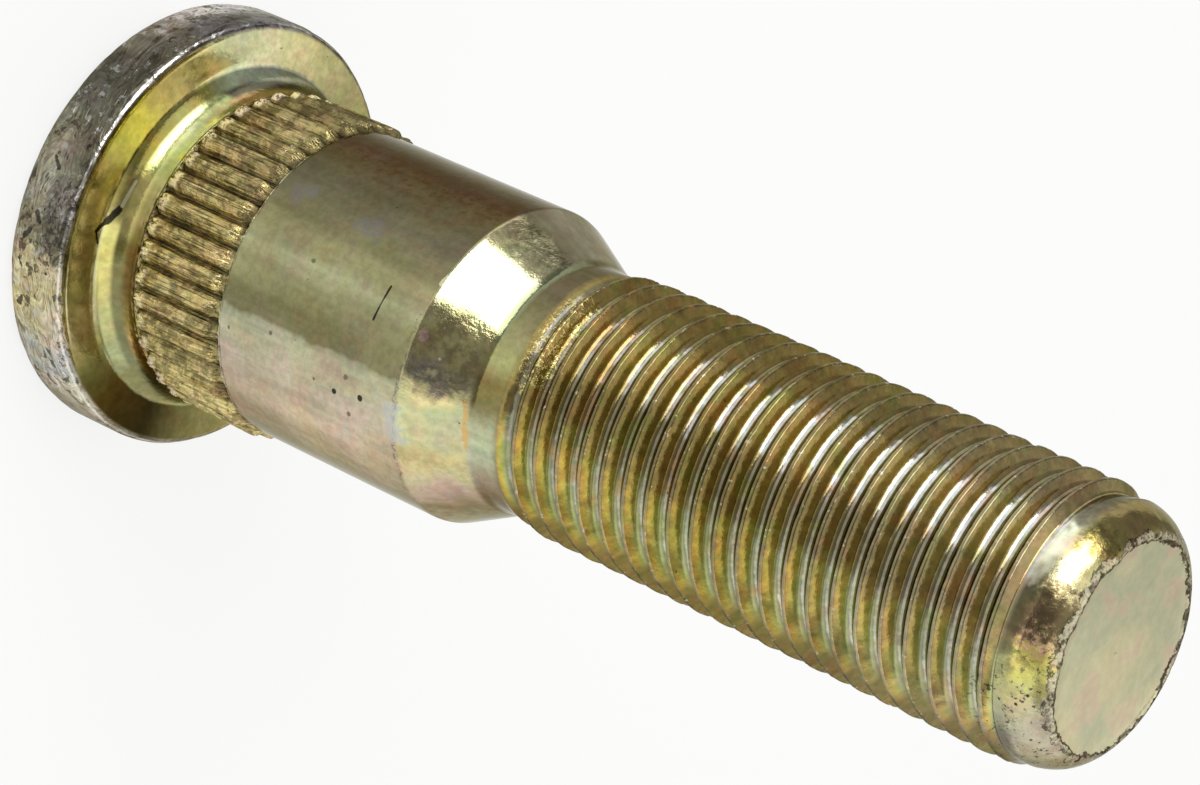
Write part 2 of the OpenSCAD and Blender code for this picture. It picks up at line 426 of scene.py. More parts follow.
def area_weighted_normals(mesh):
    """Normals that keep the large faces flat and put the bend in the small ones."""
    count = len(mesh.polygons)
    normals = np.empty(count * 3)
    areas = np.empty(count)
    starts = np.empty(count, dtype=int)
    totals = np.empty(count, dtype=int)
    corners = np.empty(len(mesh.loops), dtype=int)
    mesh.polygons.foreach_get("normal", normals)
    mesh.polygons.foreach_get("area", areas)
    mesh.polygons.foreach_get("loop_start", starts)
    mesh.polygons.foreach_get("loop_total", totals)
    mesh.loops.foreach_get("vertex_index", corners)
    weighted = normals.reshape(-1, 3) * areas[:, None]
    owner = np.repeat(np.arange(count), totals)
    sums = np.zeros((len(mesh.vertices), 3))
    np.add.at(sums, corners, weighted[owner])
    return sums / np.linalg.norm(sums, axis=1, keepdims=True)


mesh.normals_split_custom_set_from_vertices(area_weighted_normals(mesh).tolist())
stud = bpy.data.objects.new("stud_body", mesh)
bpy.context.scene.collection.objects.link(stud)
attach(stud, "root")
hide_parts("wheel_stud")


class Tree:
    """Short calls that add shader nodes and join them."""

    def __init__(self, material):
        material.use_nodes = True
        self.tree = material.node_tree
        self.tree.nodes.clear()

    def node(self, kind, **settings):
        made = self.tree.nodes.new("ShaderNode" + kind)
        for name, value in settings.items():
            setattr(made, name, value)
        return made

    def feed(self, socket, value):
        if isinstance(value, bpy.types.NodeSocket):
            self.tree.links.new(value, socket)
        elif isinstance(value, tuple) and len(value) == 3 and socket.type == "RGBA":
            socket.default_value = value + (1.0,)
        else:
            socket.default_value = value

    def math(self, operation, a, b=0.0, c=0.0):
        made = self.node("Math", operation=operation)
        for socket, value in zip(made.inputs, (a, b, c)):
            self.feed(socket, value)
        return made.outputs[0]

    def span(self, value, low, high, to_low=0.0, to_high=1.0):
        """Smooth change of value from low to high, held outside them."""
        made = self.node("MapRange", interpolation_type="SMOOTHSTEP")
        for name, number in (
            ("Value", value),
            ("From Min", low),
            ("From Max", high),
            ("To Min", to_low),
            ("To Max", to_high),
        ):
            self.feed(made.inputs[name], number)
        return made.outputs[0]

    def ramp(self, value, stops, low=0.0, high=1.0):
        """Colour that changes with value, given as (value, red, green, blue) stops."""
        share = self.node("MapRange")
        self.feed(share.inputs["Value"], value)
        share.inputs["From Min"].default_value = low
        share.inputs["From Max"].default_value = high
        made = self.node("ValToRGB")
        self.feed(made.inputs[0], share.outputs[0])
        elements = made.color_ramp.elements
        while len(elements) < len(stops):
            elements.new(0.5)
        for element, (place, *colour) in zip(elements, stops):
            element.position = (place - low) / (high - low)
            element.color = (*colour, 1.0)
        return made.outputs[0]

    def mix(self, share, a, b, blend="MIX"):
        """Colour between a and b. The node's colours are its inputs 6 and 7 and its output 2."""
        made = self.node("Mix", data_type="RGBA", blend_type=blend)
        self.feed(made.inputs[0], share)
        self.feed(made.inputs[6], a)
        self.feed(made.inputs[7], b)
        return made.outputs[2]

    def noise(self, vector, scale, detail=2.0, roughness=0.5, distortion=0.0):
        made = self.node("TexNoise")
        self.feed(made.inputs["Vector"], vector)
        for name, number in (
            ("Scale", scale),
            ("Detail", detail),
            ("Roughness", roughness),
            ("Distortion", distortion),
        ):
            self.feed(made.inputs[name], number)
        return made.outputs[0]

    def grey(self, value, stops, low=0.0, high=1.0):
        """Number that changes with value, given as (value, number) stops."""
        return self.ramp(value, [(place, n, n, n) for place, n in stops], low, high)

    def vector(self, operation, a, b=(0.0, 0.0, 0.0)):
        made = self.node("VectorMath", operation=operation)
        self.feed(made.inputs[0], a)
        self.feed(made.inputs[1], b)
        return made

    def product(self, *values):
        total = values[0]
        for value in values[1:]:
            total = self.math("MULTIPLY", total, value)
        return total

    def sway(self, value, source, amount):
        """Value moved back and forth by a noise, by amount in all."""
        return self.math("ADD", value, self.math("MULTIPLY_ADD", source, amount, -amount / 2))

    def inverse(self, value):
        return self.math("SUBTRACT", 1.0, value)

    def window(self, value, low, high, edge):
        """1 between low and high, 0 outside, with soft edges. Low may be a socket."""
        if isinstance(low, bpy.types.NodeSocket):
            up = self.span(value, self.math("SUBTRACT", low, edge), self.math("ADD", low, edge))
        else:
            up = self.span(value, low - edge, low + edge)
        down = self.span(value, high - edge, high + edge)
        return self.math("SUBTRACT", up, down)


metal = bpy.data.materials.new("yellow_zinc")
t = Tree(metal)
place = t.node("TexCoord").outputs["Object"]
mm = t.vector("MULTIPLY", place, (1 / MM, 1 / MM, 1 / MM)).outputs[0]
parts = t.node("SeparateXYZ")
t.feed(parts.inputs[0], mm)
x, y, z = parts.outputs
radius = t.math("SQRT", t.math("ADD", t.math("MULTIPLY", x, x), t.math("MULTIPLY", y, y)))
phi = t.math("MULTIPLY", t.math("ARCTAN2", y, x), math.degrees(1))

# Unevenness of the plating, in patches from 4 mm down to 0.1 mm
cloud = t.noise(mm, 0.24, 1.0, 0.55)
patch = t.noise(mm, 0.75, 2.0, 0.6)
fine = t.noise(mm, 2.6, 2.0, 0.65)
grain = t.noise(mm, 9.0, 1.0, 0.6)
mottle = t.noise(mm, 3.4, 3.0, 0.75)
scuffs = t.noise(mm, 1.5, 3.0, 0.7)
lengthwise = t.vector("MULTIPLY", mm, (1.0, 1.0, 0.07)).outputs[0]
streak = t.noise(lengthwise, 1.6, 2.0, 0.6)
lines = t.noise(lengthwise, 6.0, 2.0, 0.65)
film = t.noise(mm, 0.5, 2.0, 0.55)
crosswise = t.vector("MULTIPLY", mm, (0.7, 0.7, 1.7)).outputs[0]
rub = t.noise(crosswise, 0.55, 2.0, 0.55, 1.8)
# Angles round the stud in degrees, ever less even: firm, soft and jagged
phi_firm = t.sway(phi, patch, 5.0)
phi_wide = t.sway(phi, patch, 26.0)
phi_soft = t.sway(phi_wide, fine, 10.0)
phi_jag = t.sway(phi_wide, mottle, 36.0)


def around(angle, stops):
    """Plating colour round the stud with painted reflections and highlights in its bands, as (degrees,
    red, green, blue) stops from -180 to 180.
    """
    return t.ramp(angle, stops, -180.0, 180.0)


def shade_around(angle, stops):
    """Number round the stud for painted shade and painted highlight strength, as (degrees, number) stops
    from -180 to 180.
    """
    return t.grey(angle, stops, -180.0, 180.0)


# Colours round the stud, zone by zone: plating colour with painted reflections and highlights as light
# and dark bands by angle. 0 degrees faces the camera, -90 is uppermost in the picture.
# Head's side: scuffed grey zinc, yellow in places, with painted reflections: pale at 27 to 72 degrees
# and dark at -45 to 22
HEAD = [
    (-180, 0.3, 0.28, 0.22),
    (-130, 0.42, 0.38, 0.27),
    (-95, 0.27, 0.25, 0.2),
    (-68, 0.43, 0.43, 0.46),
    (-55, 0.44, 0.4, 0.44),
    (-45, 0.19, 0.17, 0.14),
    (-32, 0.12, 0.11, 0.09),
    (-20, 0.125, 0.12, 0.1),
    (-5, 0.19, 0.185, 0.14),
    (8, 0.24, 0.23, 0.2),
    (15, 0.17, 0.16, 0.12),
    (22, 0.22, 0.2, 0.15),
    (27, 0.53, 0.47, 0.31),
    (38, 0.6, 0.53, 0.33),
    (48, 0.66, 0.61, 0.49),
    (54, 0.48, 0.5, 0.52),
    (61, 0.59, 0.57, 0.49),
    (72, 0.5, 0.44, 0.34),
    (95, 0.3, 0.28, 0.22),
    (135, 0.4, 0.36, 0.25),
    (180, 0.3, 0.28, 0.22),
]
# Flat ring under the head: yellow, with painted shade in dark brown at 52 to 92 degrees
UNDERSIDE = [
    (-180, 0.5, 0.45, 0.2),
    (-120, 0.42, 0.38, 0.17),
    (-85, 0.73, 0.65, 0.34),
    (-60, 0.75, 0.75, 0.48),
    (-48, 0.83, 0.78, 0.4),
    (-40, 0.53, 0.47, 0.19),
    (-31, 0.82, 0.64, 0.24),
    (-20, 0.95, 0.81, 0.13),
    (-12, 0.73, 0.67, 0.13),
    (-4, 0.64, 0.52, 0.18),
    (6, 0.68, 0.65, 0.37),
    (20, 0.65, 0.63, 0.39),
    (40, 0.66, 0.6, 0.34),
    (52, 0.4, 0.34, 0.12),
    (60, 0.16, 0.14, 0.043),
    (70, 0.073, 0.045, 0.0086),
    (92, 0.035, 0.025, 0.0073),
    (130, 0.42, 0.37, 0.15),
    (180, 0.5, 0.45, 0.2),
]
# Fillet: its middle, its edge on the ring and its foot at the knurl; the bright band near -30 degrees
# and the bright crescent at 12 to 46 degrees are partly painted highlights
FILLET = [
    (-180, 0.46, 0.43, 0.2),
    (-110, 0.36, 0.35, 0.2),
    (-75, 0.13, 0.13, 0.12),
    (-55, 0.18, 0.17, 0.11),
    (-43, 0.57, 0.65, 0.27),
    (-30, 0.94, 0.97, 0.53),
    (-16, 0.81, 0.86, 0.33),
    (-4, 0.84, 0.72, 0.26),
    (6, 0.69, 0.58, 0.22),
    (13, 0.38, 0.34, 0.14),
    (20, 0.24, 0.22, 0.073),
    (42, 0.29, 0.29, 0.14),
    (60, 0.22, 0.23, 0.13),
    (72, 0.28, 0.27, 0.13),
    (110, 0.4, 0.37, 0.17),
    (180, 0.46, 0.43, 0.2),
]
FILLET_OUT = [
    (-180, 0.46, 0.43, 0.2),
    (-110, 0.4, 0.38, 0.2),
    (-75, 0.44, 0.47, 0.36),
    (-55, 0.62, 0.7, 0.48),
    (-45, 0.3, 0.28, 0.08),
    (-38, 0.14, 0.12, 0.038),
    (-30, 0.15, 0.14, 0.05),
    (-18, 0.14, 0.11, 0.021),
    (-8, 0.15, 0.13, 0.042),
    (2, 0.38, 0.32, 0.1),
    (9, 0.5, 0.43, 0.17),
    (12, 0.97, 0.89, 0.33),
    (24, 0.97, 0.91, 0.33),
    (34, 0.95, 0.89, 0.32),
    (46, 0.84, 0.85, 0.4),
    (60, 0.44, 0.46, 0.26),
    (72, 0.26, 0.25, 0.12),
    (110, 0.4, 0.37, 0.17),
    (180, 0.46, 0.43, 0.2),
]
FILLET_FOOT = [
    (-180, 0.46, 0.43, 0.2),
    (-110, 0.36, 0.33, 0.17),
    (-70, 0.9, 0.74, 0.39),
    (-55, 0.92, 0.57, 0.28),
    (-43, 0.46, 0.44, 0.18),
    (-30, 0.54, 0.6, 0.26),
    (-16, 0.48, 0.52, 0.18),
    (-4, 0.5, 0.44, 0.18),
    (8, 0.24, 0.19, 0.054),
    (20, 0.16, 0.09, 0.025),
    (32, 0.19, 0.13, 0.04),
    (45, 0.38, 0.28, 0.086),
    (60, 0.91, 0.62, 0.24),
    (80, 0.7, 0.64, 0.31),
    (180, 0.46, 0.43, 0.2),
]
# Shank: painted reflections, dark along the top and pale below a sharp line at 21 degrees
SHANK = [
    (-180, 0.5, 0.44, 0.26),
    (-150, 0.4, 0.36, 0.19),
    (-120, 0.5, 0.44, 0.27),
    (-95, 0.34, 0.3, 0.17),
    (-75, 0.16, 0.14, 0.088),
    (-64, 0.071, 0.052, 0.034),
    (-57, 0.091, 0.054, 0.039),
    (-50, 0.11, 0.081, 0.041),
    (-38, 0.14, 0.12, 0.068),
    (-28, 0.18, 0.16, 0.1),
    (-18, 0.25, 0.23, 0.12),
    (-9, 0.35, 0.32, 0.17),
    (-3, 0.43, 0.42, 0.25),
    (4, 0.34, 0.32, 0.17),
    (14, 0.24, 0.22, 0.11),
    (20, 0.22, 0.2, 0.11),
    (21.5, 0.47, 0.46, 0.32),
    (30, 0.57, 0.52, 0.37),
    (41, 0.6, 0.5, 0.39),
    (52, 0.6, 0.48, 0.35),
    (60, 0.52, 0.42, 0.3),
    (72, 0.44, 0.38, 0.27),
    (95, 0.5, 0.46, 0.3),
    (120, 0.44, 0.4, 0.23),
    (150, 0.54, 0.47, 0.3),
    (180, 0.5, 0.44, 0.26),
]
# Cone and neck: a painted highlight on the cone at -50 to -12 degrees, and pale bands at 21 to 57
# degrees on the cone and 28 to 50 on the neck that are painted reflections
CONE = [
    (-180, 0.52, 0.47, 0.28),
    (-130, 0.42, 0.38, 0.22),
    (-80, 0.3, 0.27, 0.2),
    (-60, 0.16, 0.14, 0.084),
    (-50, 0.67, 0.62, 0.39),
    (-42, 0.86, 0.86, 0.5),
    (-12, 0.64, 0.62, 0.34),
    (-6, 0.53, 0.49, 0.26),
    (6, 0.48, 0.4, 0.2),
    (14, 0.38, 0.34, 0.24),
    (21, 0.94, 0.85, 0.47),
    (27, 0.59, 0.63, 0.38),
    (38, 0.6, 0.58, 0.36),
    (48, 0.62, 0.53, 0.28),
    (57, 0.7, 0.62, 0.37),
    (67, 0.62, 0.46, 0.36),
    (78, 0.34, 0.26, 0.17),
    (95, 0.44, 0.41, 0.26),
    (140, 0.56, 0.5, 0.3),
    (180, 0.52, 0.47, 0.28),
]
NECK = [
    (-180, 0.42, 0.4, 0.2),
    (-120, 0.4, 0.36, 0.18),
    (-75, 0.14, 0.12, 0.069),
    (-35, 0.18, 0.15, 0.087),
    (-20, 0.27, 0.25, 0.12),
    (-9, 0.36, 0.34, 0.17),
    (0, 0.43, 0.42, 0.19),
    (10, 0.25, 0.19, 0.071),
    (20, 0.27, 0.24, 0.1),
    (28, 0.46, 0.49, 0.29),
    (40, 0.5, 0.53, 0.36),
    (50, 0.49, 0.46, 0.35),
    (60, 0.4, 0.3, 0.23),
    (72, 0.2, 0.14, 0.08),
    (100, 0.36, 0.32, 0.16),
    (180, 0.42, 0.4, 0.2),
]
# Plain ring between thread and crown, and the crown: painted highlights at -37 to -22 degrees on the
# ring and -27 to -16 and 14 to 18 on the crown, and a painted dark reflection near 0 degrees
LAND = [
    (-180, 0.42, 0.38, 0.22),
    (-110, 0.34, 0.3, 0.17),
    (-68, 0.14, 0.13, 0.09),
    (-50, 0.22, 0.2, 0.15),
    (-44, 0.29, 0.27, 0.2),
    (-37, 0.9, 0.9, 0.72),
    (-22, 0.93, 0.93, 0.77),
    (-15, 0.4, 0.37, 0.27),
    (-10, 0.09, 0.081, 0.048),
    (0, 0.095, 0.08, 0.042),
    (12, 0.13, 0.11, 0.064),
    (22, 0.27, 0.25, 0.12),
    (33, 0.58, 0.56, 0.28),
    (48, 0.46, 0.45, 0.32),
    (60, 0.22, 0.21, 0.17),
    (80, 0.28, 0.26, 0.2),
    (130, 0.45, 0.41, 0.24),
    (180, 0.42, 0.38, 0.22),
]
CROWN = [
    (-180, 0.44, 0.39, 0.21),
    (-110, 0.34, 0.3, 0.15),
    (-62, 0.36, 0.28, 0.13),
    (-48, 0.34, 0.28, 0.11),
    (-40, 0.22, 0.18, 0.07),
    (-36, 0.52, 0.42, 0.13),
    (-27, 0.92, 0.82, 0.44),
    (-16, 0.92, 0.81, 0.48),
    (-11, 0.3, 0.24, 0.14),
    (-7, 0.21, 0.17, 0.09),
    (6, 0.17, 0.13, 0.075),
    (11, 0.38, 0.29, 0.17),
    (14, 0.92, 0.66, 0.42),
    (18, 0.94, 0.74, 0.3),
    (24, 0.78, 0.74, 0.22),
    (36, 0.66, 0.64, 0.27),
    (42, 0.6, 0.52, 0.34),
    (52, 0.52, 0.5, 0.37),
    (64, 0.54, 0.47, 0.37),
    (82, 0.42, 0.37, 0.26),
    (130, 0.5, 0.45, 0.25),
    (180, 0.44, 0.39, 0.21),
]

head = around(phi_soft, HEAD)
# Shade of the head's side beside its outer face and beside its underside, as a share of TONE
TONE = 2.0
HEAD_BACK = [
    (-180, 0.6), (-72, 1.0), (-60, 0.875), (-42, 0.75), (-30, 0.425), (-20, 0.45), (-8, 0.75),
    (2, 0.9), (18, 1.0), (28, 0.55), (45, 0.5), (60, 0.45), (72, 0.375), (180, 0.6),
]
HEAD_FRONT = [
    (-180, 0.45), (-75, 0.3), (-58, 0.15), (-42, 0.375), (-30, 0.45), (-20, 0.4), (0, 0.475),
    (20, 0.525), (30, 0.55), (45, 0.55), (60, 0.675), (75, 0.475), (180, 0.45),
]
back_shade = shade_around(phi_soft, HEAD_BACK)
front_shade = shade_around(phi_soft, HEAD_FRONT)
head_shade = t.mix(t.span(z, 1.2, 2.4), back_shade, front_shade)
head = t.mix(1.0, head, t.vector("MULTIPLY", head_shade, (TONE, TONE, TONE)).outputs[0], "MULTIPLY")
rubbed = t.ramp(
    rub,
    [
        (0.28, 0.45, 0.42, 0.38),
        (0.38, 1.0, 0.98, 0.96),
        (0.45, 0.66, 0.62, 0.58),
        (0.50, 1.25, 1.25, 1.25),
        (0.56, 0.80, 0.76, 0.72),
        (0.63, 1.2, 1.2, 1.22),
        (0.72, 0.45, 0.41, 0.38),
    ],
)
head = t.mix(1.0, head, rubbed, "MULTIPLY")
underside = around(phi_firm, UNDERSIDE)
fillet_tone = t.mix(t.span(z, 4.14, 4.4), around(phi_firm, FILLET_OUT), around(phi_soft, FILLET))
fillet_tone = t.mix(t.span(z, 4.6, 5.05), fillet_tone, around(phi_soft, FILLET_FOOT))
shank = around(phi_firm, SHANK)
cone = around(phi_soft, CONE)
neck = around(phi_firm, NECK)
land_tone = around(phi_soft, LAND)
crown = around(phi_jag, CROWN)

# Knurl: fine lines along each tooth, with painted shade between the teeth and by angle
knurl = t.ramp(
    lines,
    [
        (0.30, 0.15, 0.11, 0.05),
        (0.42, 0.36, 0.28, 0.12),
        (0.50, 0.52, 0.42, 0.21),
        (0.58, 0.38, 0.32, 0.12),
        (0.70, 0.66, 0.54, 0.31),
    ],
)
KNURL_SHADE = [
    (-180, 0.9), (-82, 0.45), (-60, 0.5), (-45, 0.85), (-20, 0.78), (0, 0.88), (20, 1.0),
    (32, 0.95), (45, 1.0), (60, 1.15), (75, 1.1), (110, 0.9), (180, 0.9),
]
knurl_shade = t.product(
    t.span(radius, 7.42, 7.74, 0.2, 1.1),
    t.span(scuffs, 0.40, 0.60, 0.62, 1.38),
    shade_around(phi_firm, KNURL_SHADE),
)
knurl = t.mix(1.0, knurl, knurl_shade, "MULTIPLY")

# Thread: colour by the place on the turn, 0 at the crest and 0.5 at the root; the paler copy at 20 to 66
# degrees is a painted reflection
helix = t.math("FRACT", t.math("SUBTRACT", t.math("DIVIDE", z, PITCH), t.math("DIVIDE", phi, 360.0)))
helix = t.math("ADD", helix, t.math("MULTIPLY_ADD", fine, 0.11, -0.055))
thread_gold = t.ramp(
    helix,
    [
        (0.00, 0.30, 0.25, 0.13),
        (0.05, 0.30, 0.24, 0.11),
        (0.10, 0.48, 0.345, 0.12),
        (0.32, 0.51, 0.37, 0.13),
        (0.39, 0.34, 0.28, 0.13),
        (0.60, 0.24, 0.21, 0.14),
        (0.70, 0.44, 0.36, 0.15),
        (0.92, 0.38, 0.31, 0.14),
        (1.00, 0.30, 0.25, 0.13),
    ],
)
thread_pale_reflection = t.ramp(
    helix,
    [
        (0.00, 0.34, 0.31, 0.22),
        (0.05, 0.46, 0.36, 0.16),
        (0.12, 0.72, 0.48, 0.10),
        (0.20, 0.70, 0.60, 0.13),
        (0.29, 0.52, 0.56, 0.22),
        (0.38, 0.32, 0.33, 0.20),
        (0.60, 0.20, 0.19, 0.16),
        (0.80, 0.42, 0.34, 0.14),
        (1.00, 0.34, 0.31, 0.22),
    ],
)
thread = t.mix(t.window(phi_soft, 20.0, 66.0, 8.0), thread_gold, thread_pale_reflection)
# Colour of the line along the root, a painted highlight near white at -40 to -13 degrees
ROOT_HIGHLIGHT = [
    (-180, 0.42, 0.38, 0.25),
    (-75, 0.22, 0.18, 0.09),
    (-47, 0.24, 0.2, 0.1),
    (-40, 0.84, 0.83, 0.83),
    (-13, 0.85, 0.85, 0.85),
    (-7, 0.38, 0.33, 0.24),
    (10, 0.34, 0.3, 0.22),
    (22, 0.53, 0.52, 0.41),
    (50, 0.67, 0.66, 0.56),
    (62, 0.34, 0.33, 0.25),
    (80, 0.25, 0.22, 0.13),
    (130, 0.4, 0.36, 0.23),
    (180, 0.42, 0.38, 0.25),
]
root = t.product(
    t.window(helix, 0.425, 0.55, 0.025),
    t.span(z, 27.0, 45.0, 0.55, 1.0),
    t.span(scuffs, 0.62, 0.54, 0.45, 1.0),
)
thread = t.mix(root, thread, around(phi_soft, ROOT_HIGHLIGHT))
gleam = t.product(
    t.window(helix, 0.34, 0.57, 0.04),
    t.window(phi_soft, -42.0, -13.0, 5.0),
    t.span(z, 27.0, 42.0),
)
thread = t.mix(t.product(gleam, 0.75), thread, (0.84, 0.86, 0.88))
# Painted shade on the crests outside -46 to 66 degrees
crest = t.inverse(t.window(helix, 0.055, 0.945, 0.02))
crest_shade_side = t.inverse(t.window(phi_soft, -46.0, 66.0, 6.0))
thread = t.mix(t.product(crest, crest_shade_side, 0.85), thread, (0.15, 0.125, 0.07))
thread = t.mix(t.span(patch, 0.54, 0.64, 0.0, 0.45), thread, (0.30, 0.33, 0.08))
thread = t.mix(t.span(film, 0.60, 0.70, 0.0, 0.45), thread, (0.62, 0.34, 0.10))
thread = t.mix(t.span(z, 38.0, 52.0, 0.0, 0.2), thread, (0.62, 0.60, 0.50))
THREAD_SHADE = [
    (-180, 0.85), (-90, 0.66), (-66, 0.68), (-50, 0.95), (-20, 0.9), (-5, 0.66), (8, 0.62),
    (25, 0.85), (48, 1.0), (58, 0.8), (68, 0.5), (75, 0.42), (110, 0.8), (180, 0.85),
]
thread = t.mix(1.0, thread, shade_around(phi_soft, THREAD_SHADE), "MULTIPLY")

# End face: pale, with pink and green blotches
face = t.mix(t.span(cloud, 0.40, 0.60), (0.66, 0.67, 0.47), (0.76, 0.70, 0.46))
face = t.mix(t.span(film, 0.50, 0.62, 0.0, 0.75), face, (0.80, 0.64, 0.47))
face = t.mix(t.span(patch, 0.40, 0.64, 0.0, 0.35), face, (0.82, 0.77, 0.52))
face = t.mix(1.0, face, t.span(y, -3.5, 3.5, 0.84, 1.0), "MULTIPLY")

# The zones along the stud, each mixed in at its border, in millimetres
base = t.mix(t.span(radius, 10.32, 10.55), underside, head)
crescent_arc = t.window(phi_firm, 10.0, 58.0, 4.0)
fillet_edge = t.math("MULTIPLY_ADD", crescent_arc, 0.12, t.math("MULTIPLY_ADD", fine, 0.2, -0.1))
base = t.mix(t.span(t.math("ADD", radius, fillet_edge), 8.72, 8.6), base, fillet_tone)
base = t.mix(t.math("GREATER_THAN", 0.6, z), base, head)
base = t.mix(t.span(t.sway(z, fine, 0.3), 5.44, 5.56), base, knurl)
base = t.mix(t.span(t.sway(z, mottle, 0.9), 10.93, 11.05), base, shank)
base = t.mix(t.span(z, 22.15, 22.35), base, cone)
base = t.mix(t.span(z, 24.98, 25.28), base, neck)
base = t.mix(t.span(z, 26.4, 27.1), base, thread)
base = t.mix(t.span(z, 53.75, 54.05), base, land_tone)
base = t.mix(t.span(t.sway(z, fine, 0.8), 54.35, 54.95), base, crown)

# The ragged lip round the end face, the face inside it, and a dark band along its rim
LIP_R = 4.72
lip_line = t.sway(t.sway(LIP_R, mottle, 0.5), patch, 0.9)
inside_lip = t.math("SUBTRACT", lip_line, radius)
near_end = t.math("GREATER_THAN", z, 55.7)
outside_lip = t.math("MULTIPLY_ADD", fine, 0.5, inside_lip)
on_lip = t.product(near_end, t.span(outside_lip, -0.22, -0.14))
lip_grey = t.ramp(
    scuffs,
    [
        (0.38, 0.07, 0.06, 0.045),
        (0.44, 0.36, 0.32, 0.24),
        (0.52, 0.74, 0.66, 0.50),
        (0.58, 0.52, 0.47, 0.33),
        (0.63, 0.12, 0.10, 0.07),
    ],
)
base = t.mix(t.product(on_lip, 0.9), base, lip_grey)
lip_crack = t.product(near_end, t.window(outside_lip, -0.24, -0.17, 0.03), t.span(scuffs, 0.44, 0.52))
base = t.mix(t.product(lip_crack, 0.85), base, (0.05, 0.04, 0.03))
on_face = t.product(near_end, t.span(inside_lip, -0.02, 0.03))
base = t.mix(on_face, base, face)
rim_width = t.math("MULTIPLY_ADD", fine, -0.5, 0.12)
rim_dark_band = t.product(
    near_end,
    t.window(inside_lip, rim_width, 0.03, 0.03),
    t.span(scuffs, 0.40, 0.50, 0.35, 0.95),
)
base = t.mix(rim_dark_band, base, (0.06, 0.05, 0.035))

# Thin-film tints, blotches and dirt over everything
tint = t.ramp(
    film,
    [
        (0.30, 1.0, 0.86, 0.84),
        (0.40, 1.0, 0.98, 0.84),
        (0.48, 0.93, 1.0, 0.90),
        (0.56, 1.0, 1.0, 1.0),
        (0.64, 1.0, 0.90, 0.90),
        (0.72, 0.88, 0.96, 1.0),
    ],
)
base = t.mix(t.math("MULTIPLY_ADD", on_face, -0.6, 0.8), base, tint, "MULTIPLY")
blotch = t.product(
    t.span(cloud, 0.3, 0.7, 0.86, 1.1),
    t.span(streak, 0.3, 0.7, 0.9, 1.08),
    t.span(fine, 0.3, 0.7, 0.88, 1.1),
)
base = t.mix(t.math("MULTIPLY_ADD", on_face, -0.7, 1.0), base, blotch, "MULTIPLY")

# Scuffs and pits of the head, wavy dark marks
on_head = t.product(t.span(radius, 10.3, 10.6), t.math("LESS_THAN", z, 3.8))
dark_marks = t.product(on_head, t.span(scuffs, 0.53, 0.58), t.span(rub, 0.52, 0.47))
base = t.mix(t.product(dark_marks, 0.8), base, (0.06, 0.05, 0.04))
base = t.mix(t.product(on_head, t.span(scuffs, 0.42, 0.34), 0.45), base, (0.56, 0.56, 0.54))

bend = t.node("CombineXYZ")
t.feed(bend.inputs[0], t.math("MULTIPLY", fine, 1.1))
t.feed(bend.inputs[1], t.math("MULTIPLY", scuffs, 1.1))
t.feed(bend.inputs[2], t.math("MULTIPLY", mottle, -0.9))
bent = t.vector("ADD", mm, bend.outputs[0])
cell = t.node("TexVoronoi")
t.feed(cell.inputs["Vector"], bent.outputs[0])
cell.inputs["Scale"].default_value = 1.2
cell_share = t.node("SeparateColor")
t.feed(cell_share.inputs[0], cell.outputs["Color"])


def cells(size, share):
    """Small uneven marks in a share of the cells of a grid."""
    near = t.span(cell.outputs["Distance"], size, 0.6 * size)
    return t.product(near, t.math("LESS_THAN", cell_share.outputs[0], share))


# Painted highlight along the head's front edge and a painted shade line beside it, strongest at -44 to
# -14 degrees
EDGE_LIGHT_AND_SHADE = [
    (-180, 0.5), (-70, 0.25), (-58, 0.5), (-44, 1.0), (-14, 1.0), (-4, 0.75), (4, 0.85),
    (9, 0.4), (20, 0.45), (27, 0.65), (60, 0.5), (180, 0.5),
]
edge_light_and_shade = shade_around(phi_soft, EDGE_LIGHT_AND_SHADE)
edge_place = t.math("MULTIPLY_ADD", scuffs, 0.14, z)
edge_highlight = t.product(
    t.window(edge_place, 3.49, 3.58, 0.035),
    t.math("GREATER_THAN", radius, 10.3),
    edge_light_and_shade,
    t.span(scuffs, 0.74, 0.56),
)
shade_line = t.product(
    t.window(edge_place, 3.62, 3.68, 0.03),
    t.math("GREATER_THAN", radius, 10.2),
    edge_light_and_shade,
)
base = t.mix(t.product(shade_line, 0.6), base, (0.10, 0.08, 0.05))
base = t.mix(edge_highlight, base, (0.97, 0.92, 0.86))
smudge = t.product(
    on_head,
    t.window(phi_soft, 6.0, 23.0, 3.0),
    t.span(mottle, 0.5, 0.56),
    t.span(z, 1.5, 2.6),
)
base = t.mix(t.product(smudge, 0.8), base, (0.05, 0.045, 0.04))
pits = cells(0.2, 0.26)
base = t.mix(t.product(pits, on_head), base, (0.03, 0.025, 0.02))
worn_tip = t.product(
    t.window(z, 52.6, 56.2, 0.4),
    t.window(phi_soft, 24.0, 100.0, 8.0),
    t.inverse(on_face),
)
base = t.mix(t.product(worn_tip, t.span(mottle, 0.58, 0.63), 0.85), base, (0.05, 0.045, 0.04))
specks = cells(0.1, 0.14)
base = t.mix(t.product(specks, 0.8), base, (0.06, 0.05, 0.04))


def on_surface(angle, height, reach):
    """A place in mm from its angle in degrees, its z and its radius."""
    return Vector((reach * math.cos(math.radians(angle)), reach * math.sin(math.radians(angle)), height))


def spot(angle, height, reach, size):
    """Distance from a place, 1 at the edge of a mark of that radius in mm."""
    away = t.vector("DISTANCE", mm, tuple(on_surface(angle, height, reach))).outputs["Value"]
    return t.math("MULTIPLY", away, 1 / size)


